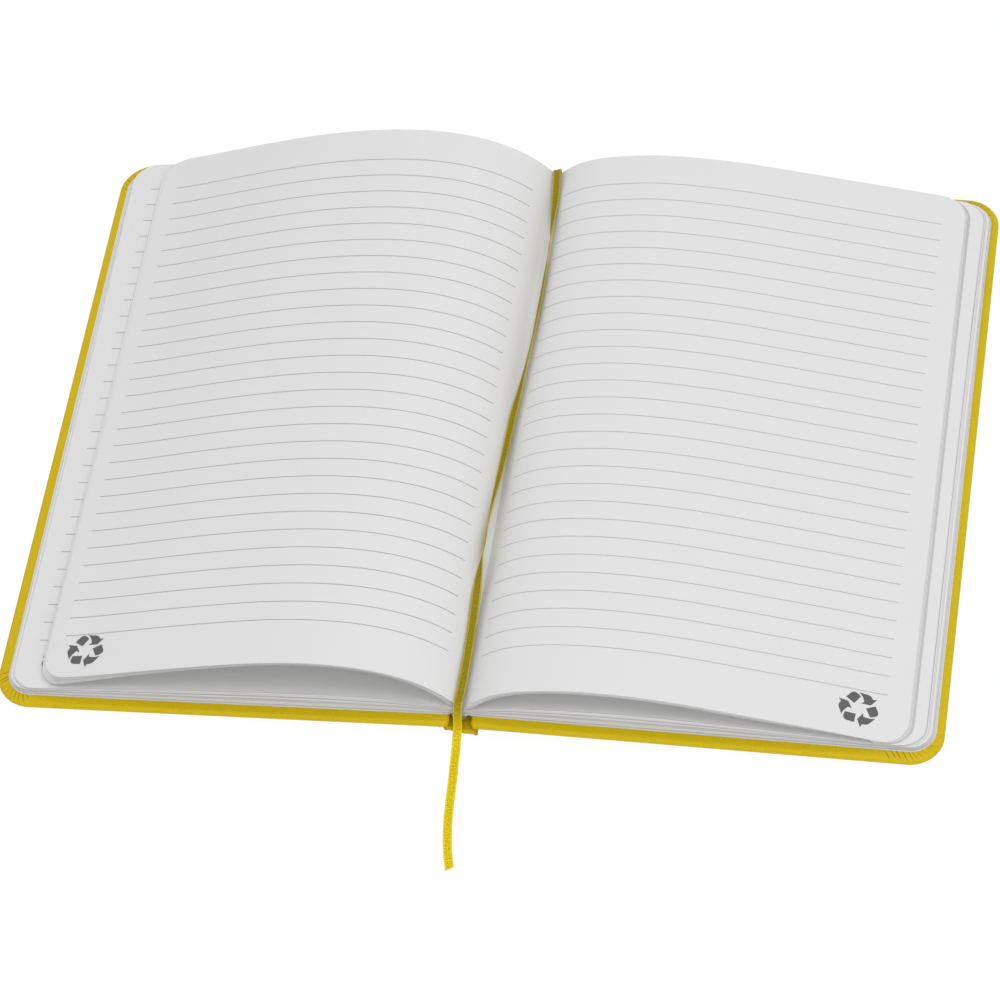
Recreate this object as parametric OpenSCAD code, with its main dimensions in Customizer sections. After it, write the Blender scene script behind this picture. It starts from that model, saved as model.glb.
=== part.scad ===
/* [Pages] */
// Height of a leaf, head to tail
page_h = 202.7; // [160:0.1:230]
// Reach of the lowest leaf from the spine's middle to its fore-edge
page_w = 134.4; // [110:0.1:160]
// Radius of the leaves' rounded corners
page_corner_r = 7.5; // [3:0.5:15]
// Thickness of the block at the open crease, over its back
crease_t = 1.2; // [0.8:0.1:2]
// Distance from the crease to the inner end of the air gap under the arched leaves
gap_start_x = 2.8; // [2:0.1:5]
// Height of that inner end over the block's back
gap_start_z = 2; // [1.6:0.1:3]

/* [Lower leaves] */
// Thickness of the lower leaves at their fore-edge
stack_fore_t = 1.7; // [1:0.1:6]
// Leading handle of the curve over the lower leaves, from the crease outwards
stack_rise = [21.2, 5.9];
// Trailing handle of that curve, from the fore-edge inwards
stack_fall = [-62.2, 6.8];
// Steps of the front leaves: share of the thickness, setback of the fore-edge
front_steps = [[0.4, 0], [0.75, 0.5], [1, 1]];
// Steps of the back leaves: share of the thickness, setback of the fore-edge
back_steps = [[0.35, 0], [0.65, 0.9], [1, 2.4]];

/* [Arched leaves] */
// Front pile: thickness at its fore-edge
front_pile_t = 2.5; // [1:0.1:6]
// Front pile: distance from the lowest leaf's fore-edge to where it lands
front_landing = 11.9; // [8:0.1:30]
// Front pile: handles of the upper curve
front_top_rise = [20, 29.6];
front_top_fall = [-60, 18];
// Front pile: handles of the curve under it
front_under_rise = [17.7, 26.3];
front_under_fall = [-58, 19.2];
// Front pile: steps as above
front_pile_steps = [[0.5, 9.1], [1, 10.3]];
// Back pile: thickness at its fore-edge
back_pile_t = 1; // [0.5:0.1:5]
// Back pile: distance from the lowest leaf's fore-edge to where it lands
back_landing = 16.4; // [8:0.1:30]
// Back pile: handles of the upper curve
back_top_rise = [15, 22.1];
back_top_fall = [-69.4, 14];
// Back pile: handles of the curve under it
back_under_rise = [13.7, 18.4];
back_under_fall = [-61, 13.6];
// Back pile: steps as above
back_pile_steps = [[0.5, 5.8], [1, 7]];

/* [Cover] */
// How far the cover stands out past the fore-edge of the leaves
square_fore = 3.9; // [1:0.1:8]
// How far the cover stands out past the head and the tail of the leaves
square_end = 3.65; // [1:0.05:8]
// Thickness of the board
board_t = 1.8; // [1:0.1:3]
// Thickness of the leatherette
leather_t = 0.3; // [0.2:0.05:0.8]
// Radius of the cover's rounded corners
cover_corner_r = 10; // [5:0.5:20]
// Width of the leatherette turned in over the board
turn_in_w = 12; // [6:0.5:20]
// Gap between the inner edges of the two boards
board_gap = 7; // [6:0.1:12]
// Height of the boards' inner edges over the table when the book lies open
hinge_lift = 4.2; // [3:0.1:8]

/* [Spine] */
// Width of the spine over its leatherette
spine_w = 9.4; // [8:0.1:14]
// Thickness of the card strip inside the spine
spine_card_t = 1.2; // [0.5:0.1:1.6]
// Setback of the spine from the boards' head and tail
spine_end_setback = 0.4; // [0:0.1:3]
// Length of the leatherette turned in at the spine's head and tail
spine_turn_in = 10; // [5:0.5:20]
// Height of the leatherette web at each side of the spine
web_h = 3; // [2.2:0.1:3.4]
// Thickness of the lining glued on the block's back
lining_t = 0.3; // [0.2:0.05:0.6]
// Room between the lining and the boards' inner edges
lining_gap = 0.3; // [0.2:0.1:1]

/* [Endpapers] */
// Thickness of the endpaper
endpaper_t = 0.15; // [0.1:0.01:0.3]
// Margin from the cover's edge to the pasted endpaper
endpaper_margin = 2.9; // [2:0.1:8]
// Start of the endpapers, out from the board's inner edge
endpaper_start = 0.3; // [0.1:0.1:2]
// Start of the flyleaf, out from the board's inner edge
flyleaf_start = 2.5; // [2:0.1:6]
// Room between the pasted endpaper and the flyleaf lying on it
seat_gap = 0.3; // [0.1:0.05:0.6]

/* [Ribbon] */
// Width of the ribbon
ribbon_w = 2.9; // [2:0.1:5]
// Thickness of the ribbon
ribbon_t = 0.35; // [0.2:0.05:0.6]

/* [Hidden] */

corner_fn = 64;
curve_steps = 24;

cover_h = page_h + 2*square_end;
cover_half = page_w + square_fore;
cover_w = cover_half - board_gap/2;
cover_t = board_t + 2*leather_t;
tilt = asin(hinge_lift/cover_w);

spine_h = cover_h - 2*spine_end_setback;
spine_card_w = spine_w - 2*leather_t;

// Height over the board's outer face at which the leaves start
leaves_z = cover_t + 2*endpaper_t + seat_gap;
back_z = hinge_lift + leaves_z/cos(tilt);
crease = [0, back_z + crease_t];
gap_start = [gap_start_x, back_z + gap_start_z];
// How far a pile reaches into the leaves it lies on
pile_sink = 0.2;

// Colours as they show in plain daylight
yellow = "#D4BE1A";
board_grey = "#9A958C";
paper_white = "#F0F0EE";
endpaper_white = "#E2E5EF";
lining_white = "#D8DAE0";
ribbon_yellow = "#D8C81E";

// Ribbon: place of the middle line and roll of the flat side, from the head's glued end to the free end
RIBBON_ROUTE = [
    [0, 101.8, 7.2, 0], [0, 102.2, 8.9, 0], [0.1, 102.1, 10.8, 10], [0.3, 100.4, 12.1, 20],
    [0.8, 96, 12.3, 20], [1.2, 91, 12.2, 20], [1.5, 86, 12.3, 30], [1.8, 80, 12.6, 55],
    [2.1, 74, 12.8, 75], [2.2, 68, 12.8, 82], [2.4, 60, 12.8, 70], [2.5, 52, 12.8, 62],
    [2.4, 43, 12.8, 62], [2.1, 34, 12.6, 68], [1.6, 24, 12.4, 66], [1, 14, 12.2, 56],
    [0.3, 4, 12, 38], [-0.1, -8, 12, 40], [-0.6, -19, 12, 50], [-1.1, -29, 12.1, 70],
    [-1.3, -39, 12.3, 84], [-1.3, -48, 12.6, 80], [-1.2, -57, 12.7, 30], [-0.9, -65, 12.5, -4],
    [-0.5, -77, 12.2, 0], [-0.4, -89, 12.1, -10], [-0.5, -97, 12, -10], [-0.8, -101.2, 11.8, -6],
    [-1, -102.7, 9.2, 0], [-1.2, -103.2, 5.9, 0], [-1.3, -104, 3.5, 0], [-1.3, -105.6, 2.5, 0],
    [-1.3, -107.6, 1.7, 0], [-1.2, -110, 0.8, 0], [-1.1, -113, 0.4, 0], [-0.7, -120, 0.3, 0],
    [-0.2, -130, 0.3, 0], [0.4, -137, 0.3, 0], [1.5, -144, 0.3, 0], [2.9, -149.8, 0.3, 0]];

function mix(a, b, f) = a*(1 - f) + b*f;

// Point of a cubic curve with its four control points in p
function bezier(p, t) =
    pow(1 - t, 3)*p[0] + 3*t*pow(1 - t, 2)*p[1] + 3*t*t*(1 - t)*p[2] + pow(t, 3)*p[3];

function curve(p) = [for (i = [0:curve_steps]) bezier(p, i/curve_steps)];

// Parameter at which a curve that only runs outwards reaches x
function t_at(p, x, lo = 0, hi = 1, n = 24) =
    n == 0 ? (lo + hi)/2 :
    bezier(p, (lo + hi)/2)[0] < x ? t_at(p, x, (lo + hi)/2, hi, n - 1) : t_at(p, x, lo, (lo + hi)/2, n - 1);

function reversed(list) = [for (i = [len(list) - 1:-1:0]) list[i]];

// Underside of the leaves on the tilted board
function under_z(x) = back_z - max(x - board_gap/2, 0)*tan(tilt);

// Control points of the curve over the lower leaves
stack_end = [page_w, under_z(page_w) + stack_fore_t];
stack_curve = [gap_start, gap_start + stack_rise, stack_end + stack_fall, stack_end];

function stack_top(x) = bezier(stack_curve, t_at(stack_curve, x));

// Section of the lower leaves up to a share f of their thickness
function stack_section(f) =
    let (over = [for (p = curve(stack_curve)) [p[0], mix(under_z(p[0]), p[1], f)]])
    concat([[0, back_z], [0, mix(back_z, crease[1], f)]], over, [[page_w, under_z(page_w)],
           [board_gap/2, back_z]]);

// Section of the arched leaves up to a share f of their thickness
function pile_section(f, setback, pile_t, landing, top_rise, top_fall, under_rise, under_fall) =
    let (end = stack_top(page_w - setback) + [0, f*pile_t],
         land = stack_top(page_w - landing),
         start = mix(gap_start, crease, f),
         over = [start, start + mix(under_rise, top_rise, f), end + mix(under_fall, top_fall, f), end],
         under = [gap_start, gap_start + under_rise, land + under_fall, land])
    concat([[0, back_z + crease_t/2], crease], curve(over),
           [stack_top(page_w - setback) - [0, pile_sink], land - [0, pile_sink]], reversed(curve(under)),
           [[gap_start_x, back_z + crease_t/2]]);

// Plan of a sheet with two rounded corners at its fore-edge, starting at x0
module sheet_plan(x0, x1, h, r) {
    translate([x0, -h/2]) square([x1 - x0 - r, h]);
    translate([x0, -h/2 + r]) square([x1 - x0, h - 2*r]);
    for (s = [-1, 1]) translate([x1 - r, s*(h/2 - r)]) circle(r, $fn = corner_fn);
}

// A section in x and z drawn out over the leaves' height, cut to the leaves' rounded corners
module leaves(section, reach) {
    intersection() {
        translate([0, page_h/2, 0]) rotate([90, 0, 0]) linear_extrude(page_h) polygon(section);
        linear_extrude(page_w) sheet_plan(-1, reach, page_h, page_corner_r);
    }
}

module half_block(steps, pile_steps, pile_t, landing, top_rise, top_fall, under_rise, under_fall) {
    for (s = steps) leaves(stack_section(s[0]), page_w - s[1]);
    for (s = pile_steps)
        leaves(pile_section(s[0], s[1], pile_t, landing, top_rise, top_fall, under_rise, under_fall),
               page_w - s[1]);
}

// Puts what is built flat on the board's outer face at the place of the back cover
module on_back() {
    translate([board_gap/2, 0, hinge_lift]) rotate([0, tilt, 0]) children();
}

// The same for the front cover
module on_front() {
    mirror([1, 0, 0]) on_back() children();
}

module board() {
    translate([0, 0, leather_t]) linear_extrude(board_t)
        sheet_plan(0, cover_w - leather_t, cover_h - 2*leather_t, cover_corner_r - leather_t);
}

// Leatherette drawn over a board and turned in on three sides
module leatherette() {
    difference() {
        linear_extrude(cover_t) sheet_plan(0, cover_w, cover_h, cover_corner_r);
        translate([0, 0, leather_t]) linear_extrude(board_t)
            sheet_plan(-1, cover_w - leather_t, cover_h - 2*leather_t, cover_corner_r - leather_t);
        translate([0, 0, cover_t/2]) linear_extrude(cover_t)
            sheet_plan(-1, cover_w - turn_in_w, cover_h - 2*turn_in_w, leather_t);
    }
}

// Endpaper pasted over the turned-in leatherette and down on the board
module pastedown() {
    w = cover_w - endpaper_margin;
    h = cover_h - 2*endpaper_margin;
    low_w = cover_w - turn_in_w;
    low_h = cover_h - 2*turn_in_w;
    translate([0, 0, cover_t]) linear_extrude(endpaper_t) difference() {
        sheet_plan(endpaper_start, w, h, cover_corner_r - endpaper_margin);
        sheet_plan(-1, low_w - endpaper_t, low_h - 2*endpaper_t, leather_t);
    }
    translate([0, 0, cover_t - leather_t]) linear_extrude(leather_t + endpaper_t) difference() {
        sheet_plan(endpaper_start, low_w, low_h, leather_t);
        sheet_plan(-1, low_w - endpaper_t, low_h - 2*endpaper_t, leather_t);
    }
    translate([0, 0, cover_t - leather_t]) linear_extrude(endpaper_t)
        sheet_plan(endpaper_start, low_w, low_h, leather_t);
}

module flyleaf() {
    translate([0, 0, leaves_z - endpaper_t]) linear_extrude(endpaper_t)
        sheet_plan(flyleaf_start, page_w - board_gap/2, page_h, page_corner_r);
}

module front_board() {
    color(board_grey) on_front() board();
}

module back_board() {
    color(board_grey) on_back() board();
}

module front_leatherette() {
    color(yellow) on_front() leatherette();
}

module back_leatherette() {
    color(yellow) on_back() leatherette();
}

module front_pastedown() {
    color(endpaper_white) on_front() pastedown();
}

module back_pastedown() {
    color(endpaper_white) on_back() pastedown();
}

module front_flyleaf() {
    color(endpaper_white) on_front() flyleaf();
}

module back_flyleaf() {
    color(endpaper_white) on_back() flyleaf();
}

module spine_card() {
    color(board_grey) translate([-spine_card_w/2, -spine_h/2 + leather_t, leather_t])
        cube([spine_card_w, spine_h - 2*leather_t, spine_card_t]);
}

// Leatherette round the spine: under it, up at both sides as webs, and turned in at head and tail
module spine_leatherette() {
    color(yellow) difference() {
        translate([-spine_w/2, -spine_h/2, 0]) cube([spine_w, spine_h, web_h]);
        translate([-spine_card_w/2, -spine_h/2 + leather_t, leather_t])
            cube([spine_card_w, spine_h - 2*leather_t, spine_card_t]);
        translate([-spine_card_w/2, -spine_h/2 - 1, spine_card_t + 2*leather_t])
            cube([spine_card_w, spine_h + 2, web_h]);
        translate([-spine_card_w/2, -spine_h/2 + spine_turn_in, leather_t])
            cube([spine_card_w, spine_h - 2*spine_turn_in, web_h]);
    }
}

module spine_lining() {
    lining_w = board_gap - 2*lining_gap;
    color(lining_white) translate([-lining_w/2, -page_h/2, back_z - lining_t])
        cube([lining_w, page_h, lining_t]);
}

module text_block() {
    color(paper_white) union() {
        mirror([1, 0, 0])
            half_block(front_steps, front_pile_steps, front_pile_t, front_landing,
                       front_top_rise, front_top_fall, front_under_rise, front_under_fall);
        half_block(back_steps, back_pile_steps, back_pile_t, back_landing,
                   back_top_rise, back_top_fall, back_under_rise, back_under_fall);
    }
}

function unit(v) = v/norm(v);

// Ring of eight points round one point of the ribbon's route, flat across the route
function ribbon_ring(i) =
    let (n = len(RIBBON_ROUTE) - 1,
         p = RIBBON_ROUTE[i],
         a = RIBBON_ROUTE[max(i - 1, 0)],
         b = RIBBON_ROUTE[min(i + 1, n)],
         along = unit([b[0] - a[0], b[1] - a[1], b[2] - a[2]]),
         up = unit(cross(along, [-1, 0, 0])),
         side = cross(up, along),
         across = side*cos(p[3]) + up*sin(p[3]),
         through = cross(along, across),
         half = ribbon_w/2, edge = ribbon_w/2 - ribbon_t/2, thin = ribbon_t/2)
    [for (c = [[half, thin/2], [edge, thin], [-edge, thin], [-half, thin/2],
               [-half, -thin/2], [-edge, -thin], [edge, -thin], [half, -thin/2]])
        [p[0], p[1], p[2]] + c[0]*across + c[1]*through];

module ribbon() {
    n = len(RIBBON_ROUTE);
    points = [for (i = [0:n - 1]) each ribbon_ring(i)];
    // Both flat sides are split along the same diagonal, so that they stay parallel where the ribbon twists
    sides = [for (i = [0:n - 2]) for (k = [0:7])
             let (a = 8*i + k, b = 8*i + (k + 1)%8)
             each k < 4 ? [[a, b + 8, b], [a, a + 8, b + 8]] : [[a, a + 8, b], [b, a + 8, b + 8]]];
    ends = [for (k = [1:6]) each [[0, k, k + 1], [8*(n - 1), 8*(n - 1) + k + 1, 8*(n - 1) + k]]];
    color(ribbon_yellow) polyhedron(points, concat(sides, ends));
}

front_board();
back_board();
front_leatherette();
back_leatherette();
spine_leatherette();
spine_card();
front_pastedown();
back_pastedown();
front_flyleaf();
back_flyleaf();
spine_lining();
text_block();
ribbon();
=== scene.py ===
"""A hardcover notebook that lies open at the middle: its leaves, covers, spine, endpapers and ribbon marker."""

import logging
import math
from collections.abc import Callable, Sequence
from dataclasses import dataclass, field
from enum import Enum

import bmesh
import bpy
import numpy as np
from mathutils import Matrix, Vector


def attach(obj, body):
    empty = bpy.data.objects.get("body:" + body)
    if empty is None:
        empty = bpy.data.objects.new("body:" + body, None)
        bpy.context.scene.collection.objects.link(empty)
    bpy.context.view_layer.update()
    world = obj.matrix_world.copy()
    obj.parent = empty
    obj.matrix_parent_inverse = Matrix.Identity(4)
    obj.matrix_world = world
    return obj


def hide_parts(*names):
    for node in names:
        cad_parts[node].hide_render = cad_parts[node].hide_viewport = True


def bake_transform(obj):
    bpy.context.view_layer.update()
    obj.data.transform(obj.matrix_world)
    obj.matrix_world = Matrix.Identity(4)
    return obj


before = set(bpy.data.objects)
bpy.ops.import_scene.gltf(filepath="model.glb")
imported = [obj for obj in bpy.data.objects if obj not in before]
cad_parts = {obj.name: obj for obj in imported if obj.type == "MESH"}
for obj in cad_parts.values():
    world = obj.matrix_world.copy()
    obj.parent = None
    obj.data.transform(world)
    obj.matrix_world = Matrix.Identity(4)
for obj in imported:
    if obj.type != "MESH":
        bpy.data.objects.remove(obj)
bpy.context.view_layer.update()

LOG = logging.getLogger("notebook")
MM = 0.001
Socket = bpy.types.NodeSocket

# The construction's own sizes, in millimetres
PAGE_H = 202.7
PAGE_CORNER_R = 7.5
BOARD_GAP = 7.0
HINGE_LIFT = 4.2
COVER_W = 134.8
COVER_H = 210.0
COVER_T = 2.4
COVER_CORNER_R = 10.0
LEATHER_T = 0.3
TURN_IN_W = 12.0
SPINE_W = 9.4
SPINE_H = 209.2
SPINE_CARD_T = 1.2
SPINE_TURN_IN = 10.0
TILT = math.asin(HINGE_LIFT / COVER_W)
BACK_Z = HINGE_LIFT + 3.0 / math.cos(TILT)
CREASE_T = 1.2
GAP_START = (2.8, BACK_Z + 2.0)
PAGE_W = 134.4
PASTEDOWN_H = 203.6

# The block of leaves lies a little off the middle of the cover
BLOCK_SHIFT = 0.8


class Side(Enum):
    """The two halves of the open notebook. The value is the half's direction along X."""

    FRONT = -1
    BACK = 1

    @property
    def word(self) -> str:
        """The half's name as the pieces carry it."""
        return self.name.lower()

    @property
    def cover(self) -> str:
        """The body of the half's cover."""
        return f"{self.word}_cover"


def linear(hex_colour: str) -> tuple[float, float, float, float]:
    """Turns an sRGB hex colour to linear light.

    Args:
        hex_colour: the colour as #RRGGBB.

    Returns:
        Red, green, blue and an alpha of one.
    """
    parts = [int(hex_colour[i : i + 2], 16) / 255 for i in (1, 3, 5)]
    light = [c / 12.92 if c <= 0.04045 else ((c + 0.055) / 1.055) ** 2.4 for c in parts]
    return (light[0], light[1], light[2], 1.0)


def add(tree: bpy.types.NodeTree, kind: str, inputs: dict | None = None, **settings: object) -> bpy.types.Node:
    """Adds one node with its settings and links.

    Args:
        tree: the material's or world's node tree.
        kind: the node's type name.
        inputs: socket name or index to a value, or to the socket that feeds it.
        settings: the node's own properties.

    Returns:
        The new node.
    """
    node = tree.nodes.new(kind)
    for name, value in settings.items():
        setattr(node, name, value)
    for key, value in (inputs or {}).items():
        if isinstance(value, Socket):
            tree.links.new(value, node.inputs[key])
        else:
            node.inputs[key].default_value = value
    return node


def start_material(name: str) -> tuple[bpy.types.Material, bpy.types.NodeTree, bpy.types.Node]:
    """Makes a node material that holds only its shader and output.

    Args:
        name: the real finish that the material stands for.

    Returns:
        The material, its node tree and its shader.
    """
    material = bpy.data.materials.new(name)
    material.use_nodes = True
    tree = material.node_tree
    tree.nodes.clear()
    shader = add(tree, "ShaderNodeBsdfPrincipled")
    add(tree, "ShaderNodeOutputMaterial", {"Surface": shader.outputs[0]})
    return material, tree, shader


def sum_of(tree: bpy.types.NodeTree, kind: str, *values: object) -> Socket:
    """Adds one sum of the given kind, such as ADD or MULTIPLY, and returns its result."""
    return add(tree, "ShaderNodeMath", dict(enumerate(values)), operation=kind).outputs[0]


def mix(tree: bpy.types.NodeTree, share: Socket, low: object, high: object) -> Socket:
    """Mixes two colours, each given as a hex colour, as linear light or as a socket."""
    ends = [linear(colour) if isinstance(colour, str) else colour for colour in (low, high)]
    return add(tree, "ShaderNodeMix", {"Factor": share, 6: ends[0], 7: ends[1]}, data_type="RGBA").outputs[2]


def span(
    tree: bpy.types.NodeTree,
    value: Socket,
    low: float,
    high: float,
    ends: Sequence[float] = (0, 1),
    kind: str = "LINEAR",
) -> Socket:
    """Maps a value between low and high to a value between the two ends, and holds it beyond them."""
    limits = {"Value": value, "From Min": low, "From Max": high, "To Min": ends[0], "To Max": ends[1]}
    return add(tree, "ShaderNodeMapRange", limits, interpolation_type=kind).outputs[0]


def spots(tree: bpy.types.NodeTree, size_mm: float, detail: float) -> Socket:
    """Adds noise that is fixed to the piece, with spots of the given size."""
    place = add(tree, "ShaderNodeTexCoord").outputs["Object"]
    sizes = {"Vector": place, "Scale": 1 / (size_mm * MM), "Detail": detail}
    return add(tree, "ShaderNodeTexNoise", sizes).outputs["Fac"]


def shaded(colour: tuple[float, float, float, float], share: float) -> tuple[float, float, float, float]:
    """Darkens a colour in linear light to the given share."""
    return (colour[0] * share, colour[1] * share, colour[2] * share, 1.0)


def feed(tree: bpy.types.NodeTree, shader: bpy.types.Node, colour: Socket, roughness: object, specular: float) -> None:
    """Gives the shader its colour, its roughness, as a number or a socket, and its shine."""
    tree.links.new(colour, shader.inputs["Base Color"])
    if isinstance(roughness, Socket):
        tree.links.new(roughness, shader.inputs["Roughness"])
    else:
        shader.inputs["Roughness"].default_value = roughness
    shader.inputs["Specular IOR Level"].default_value = specular


def relief(tree: bpy.types.NodeTree, shader: bpy.types.Node, height: Socket, strength: float, deep_mm: float) -> None:
    """Gives the shader a fine relief."""
    bump = add(tree, "ShaderNodeBump", {"Height": height, "Strength": strength, "Distance": deep_mm * MM})
    tree.links.new(bump.outputs[0], shader.inputs["Normal"])


@dataclass(frozen=True)
class WritingPaper:
    """Uncoated recycled writing paper: a soft matt white with a faint fibre, and grey ruling printed on it."""

    name: str = "uncoated_writing_paper"
    colour: str = "#DFDFDF"
    mottle: float = 0.965
    ruling: str = "#A3A3A3"
    roughness: float = 0.9
    fibre_mm: float = 0.55
    line_mm: float = 0.3
    pitch_mm: float = 6.49
    first_line_mm: float = 90.0
    lines: int = 28
    ruled_from_mm: float = 0.0
    ruled_to_mm: float = 0.0

    def material(self) -> bpy.types.Material:
        """Makes the paper, with ruling between the two given places along X.

        Returns:
            The material.
        """
        material, tree, shader = start_material(self.name)
        # The fibre is drawn at half a millimetre, coarser than the real one, so that it shows as the faint mottle
        fibre = spots(tree, self.fibre_mm, 3.0)
        base = linear(self.colour)
        colour = mix(tree, fibre, shaded(base, self.mottle), base)
        if self.ruled_to_mm > self.ruled_from_mm:
            colour = mix(tree, self.ruling_mask(tree), colour, self.ruling)
        feed(tree, shader, colour, self.roughness, 0.25)
        relief(tree, shader, fibre, 0.12, 0.05)
        return material

    def ruling_mask(self, tree: bpy.types.NodeTree) -> Socket:
        """Works out where a ruled line lies.

        Args:
            tree: the material's node tree.

        Returns:
            The socket that is one on a line and zero beside it.
        """
        axes = add(tree, "ShaderNodeSeparateXYZ", {0: add(tree, "ShaderNodeTexCoord").outputs["Object"]})
        along = sum_of(tree, "SUBTRACT", self.first_line_mm * MM, axes.outputs["Y"])
        count = sum_of(tree, "DIVIDE", along, self.pitch_mm * MM)
        nearest = sum_of(tree, "ROUND", count)
        off = sum_of(tree, "ABSOLUTE", sum_of(tree, "SUBTRACT", count, nearest))
        mask = sum_of(tree, "LESS_THAN", off, self.line_mm / 2 / self.pitch_mm)
        limits = (
            sum_of(tree, "GREATER_THAN", nearest, -0.5),
            sum_of(tree, "LESS_THAN", nearest, self.lines - 0.5),
            sum_of(tree, "GREATER_THAN", axes.outputs["X"], self.ruled_from_mm * MM),
            sum_of(tree, "LESS_THAN", axes.outputs["X"], self.ruled_to_mm * MM),
        )
        for limit in limits:
            mask = sum_of(tree, "MULTIPLY", mask, limit)
        return mask


@dataclass(frozen=True)
class TrimmedLeaves:
    """The guillotined edge of many leaves: greyer than the leaves' faces, with fine lines that follow the leaves."""

    name: str = "guillotined_leaf_edges"
    light: str = "#DDDDDD"
    dark: str = "#A4A4A6"
    roughness: float = 0.95
    bundle_mm: float = 0.7
    drift_mm: float = 60.0
    # The front fore-edges are painted lighter than the paper, as painted light
    fore_edge: str = "#EEEEEE"
    fore_edge_share: float = 0.88

    def material(self) -> bpy.types.Material:
        """Makes the leaf edges. The attribute leaf_height counts millimetres through the pile.

        Returns:
            The material.
        """
        material, tree, shader = start_material(self.name)
        height = add(tree, "ShaderNodeAttribute", attribute_name="leaf_height").outputs["Fac"]
        # Leaves are 0.1 mm thick; the lines are drawn at the width of a bundle of leaves, so that they show
        count = sum_of(tree, "MULTIPLY_ADD", spots(tree, self.drift_mm, 1.0), 0.8, height)
        lines = add(
            tree,
            "ShaderNodeTexNoise",
            {"W": count, "Scale": 1 / self.bundle_mm, "Detail": 3.0, "Roughness": 0.65},
            noise_dimensions="1D",
        )
        lined = mix(tree, span(tree, lines.outputs["Fac"], 0.36, 0.58), self.dark, self.light)
        # The leaves on the front cover lie fanned out, and their fore-edges, which face -X, are drawn with fainter
        # lines and painted lighter than the paper, as painted light against the shade between the piles
        faces = add(tree, "ShaderNodeSeparateXYZ", {"Vector": add(tree, "ShaderNodeTexCoord").outputs["Normal"]})
        sideways = sum_of(tree, "MULTIPLY", faces.outputs["X"], -1.0)
        plain = span(tree, sideways, 0.3, 0.8, (0, self.fore_edge_share))
        feed(tree, shader, mix(tree, plain, lined, self.fore_edge), self.roughness, 0.2)
        return material


@dataclass(frozen=True)
class Endpaper:
    """Heavier, brighter endpaper with optical brightener, which makes it look bluish beside the leaves."""

    name: str = "bright_endpaper"
    colour: str = "#DCDDDF"
    mottle: float = 0.96
    roughness: float = 0.85
    fibre_mm: float = 0.8

    def material(self) -> bpy.types.Material:
        """Makes the endpaper.

        Returns:
            The material.
        """
        material, tree, shader = start_material(self.name)
        fibre = spots(tree, self.fibre_mm, 4.0)
        base = linear(self.colour)
        feed(tree, shader, mix(tree, fibre, shaded(base, self.mottle), base), self.roughness, 0.25)
        relief(tree, shader, fibre, 0.1, 0.05)
        return material


@dataclass(frozen=True)
class Leatherette:
    """Polyurethane-coated leatherette: saturated yellow with a fine pebble grain and a soft satin shine."""

    name: str = "polyurethane_leatherette"
    colour: str = "#D0B500"
    deep: str = "#B99E00"
    # The pleats' colour is painted shade in their folds
    crease: str = "#7A680A"
    roughness: float = 0.45
    grain_mm: float = 0.45
    tone_mm: float = 14.0
    scuff_mm: float = 3.0
    corner_at_mm: float = 0.0
    pleats_mm: tuple[float, float] = (-8.0, 8.0)
    pleat_slant: float = 0.5
    pleat_pitch_mm: float = 1.8

    def pleats(self, tree: bpy.types.NodeTree) -> Socket:
        """Works out where the small folds lie that gather the turned-in leatherette at a rounded corner.

        The attribute outline_place runs along the board's outline in millimetres, from the middle of the fore-edge,
        and the attribute from_rim runs inwards from its outer edge.

        Args:
            tree: the material's node tree.

        Returns:
            The socket that is one in a fold and zero beside it.
        """

        def rise(value: Socket, low: float, high: float) -> Socket:
            """Rises smoothly from 0 at low to 1 at high."""
            return span(tree, value, low, high, kind="SMOOTHSTEP")

        place = add(tree, "ShaderNodeAttribute", attribute_name="outline_place").outputs["Fac"]
        inward = add(tree, "ShaderNodeAttribute", attribute_name="from_rim").outputs["Fac"]
        off_corner = sum_of(tree, "SUBTRACT", sum_of(tree, "ABSOLUTE", place), self.corner_at_mm)
        slant = sum_of(tree, "MULTIPLY", sum_of(tree, "SIGN", place), self.pleat_slant)
        slanted = sum_of(tree, "SUBTRACT", place, sum_of(tree, "MULTIPLY", inward, slant))
        lines = add(
            tree,
            "ShaderNodeTexVoronoi",
            {"W": slanted, "Scale": 1 / self.pleat_pitch_mm, "Randomness": 0.9},
            voronoi_dimensions="1D",
            feature="DISTANCE_TO_EDGE",
        )
        uneven = add(tree, "ShaderNodeTexNoise", {"W": slanted, "Scale": 0.9, "Detail": 1.0}, noise_dimensions="1D")
        start, end = self.pleats_mm
        fold = sum_of(tree, "SUBTRACT", 1.0, rise(lines.outputs["Distance"], 0.02, 0.15))
        limits = (
            rise(off_corner, start - 0.8, start + 0.8),
            rise(off_corner, end + 0.5, end - 1.5),
            rise(inward, -0.8, 2.0),
            rise(uneven.outputs["Fac"], 0.3, 0.58),
        )
        for limit in limits:
            fold = sum_of(tree, "MULTIPLY", fold, limit)
        return fold

    def material(self) -> bpy.types.Material:
        """Makes the leatherette.

        Returns:
            The material.
        """
        material, tree, shader = start_material(self.name)
        place = add(tree, "ShaderNodeTexCoord").outputs["Object"]
        pebbles = {"Vector": place, "Scale": 1 / (self.grain_mm * MM)}
        grain = add(tree, "ShaderNodeTexVoronoi", pebbles, feature="SMOOTH_F1").outputs["Distance"]
        fleck = spots(tree, self.scuff_mm, 5.0)
        depth = sum_of(tree, "MULTIPLY", span(tree, grain, 0.2, 0.8), spots(tree, self.tone_mm, 3.0))
        # The pleats' folds are darkened with painted shade, and the same mask sinks them in the relief
        pressed = self.pleats(tree)
        colour = mix(tree, pressed, mix(tree, depth, self.colour, self.deep), self.crease)
        shine = span(tree, fleck, 0.3, 0.75, (self.roughness + 0.12, self.roughness - 0.1))
        feed(tree, shader, colour, shine, 0.18)
        height = sum_of(tree, "MULTIPLY_ADD", pressed, -2.5, sum_of(tree, "ADD", grain, fleck))
        relief(tree, shader, height, 0.3, 0.06)
        return material


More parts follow.
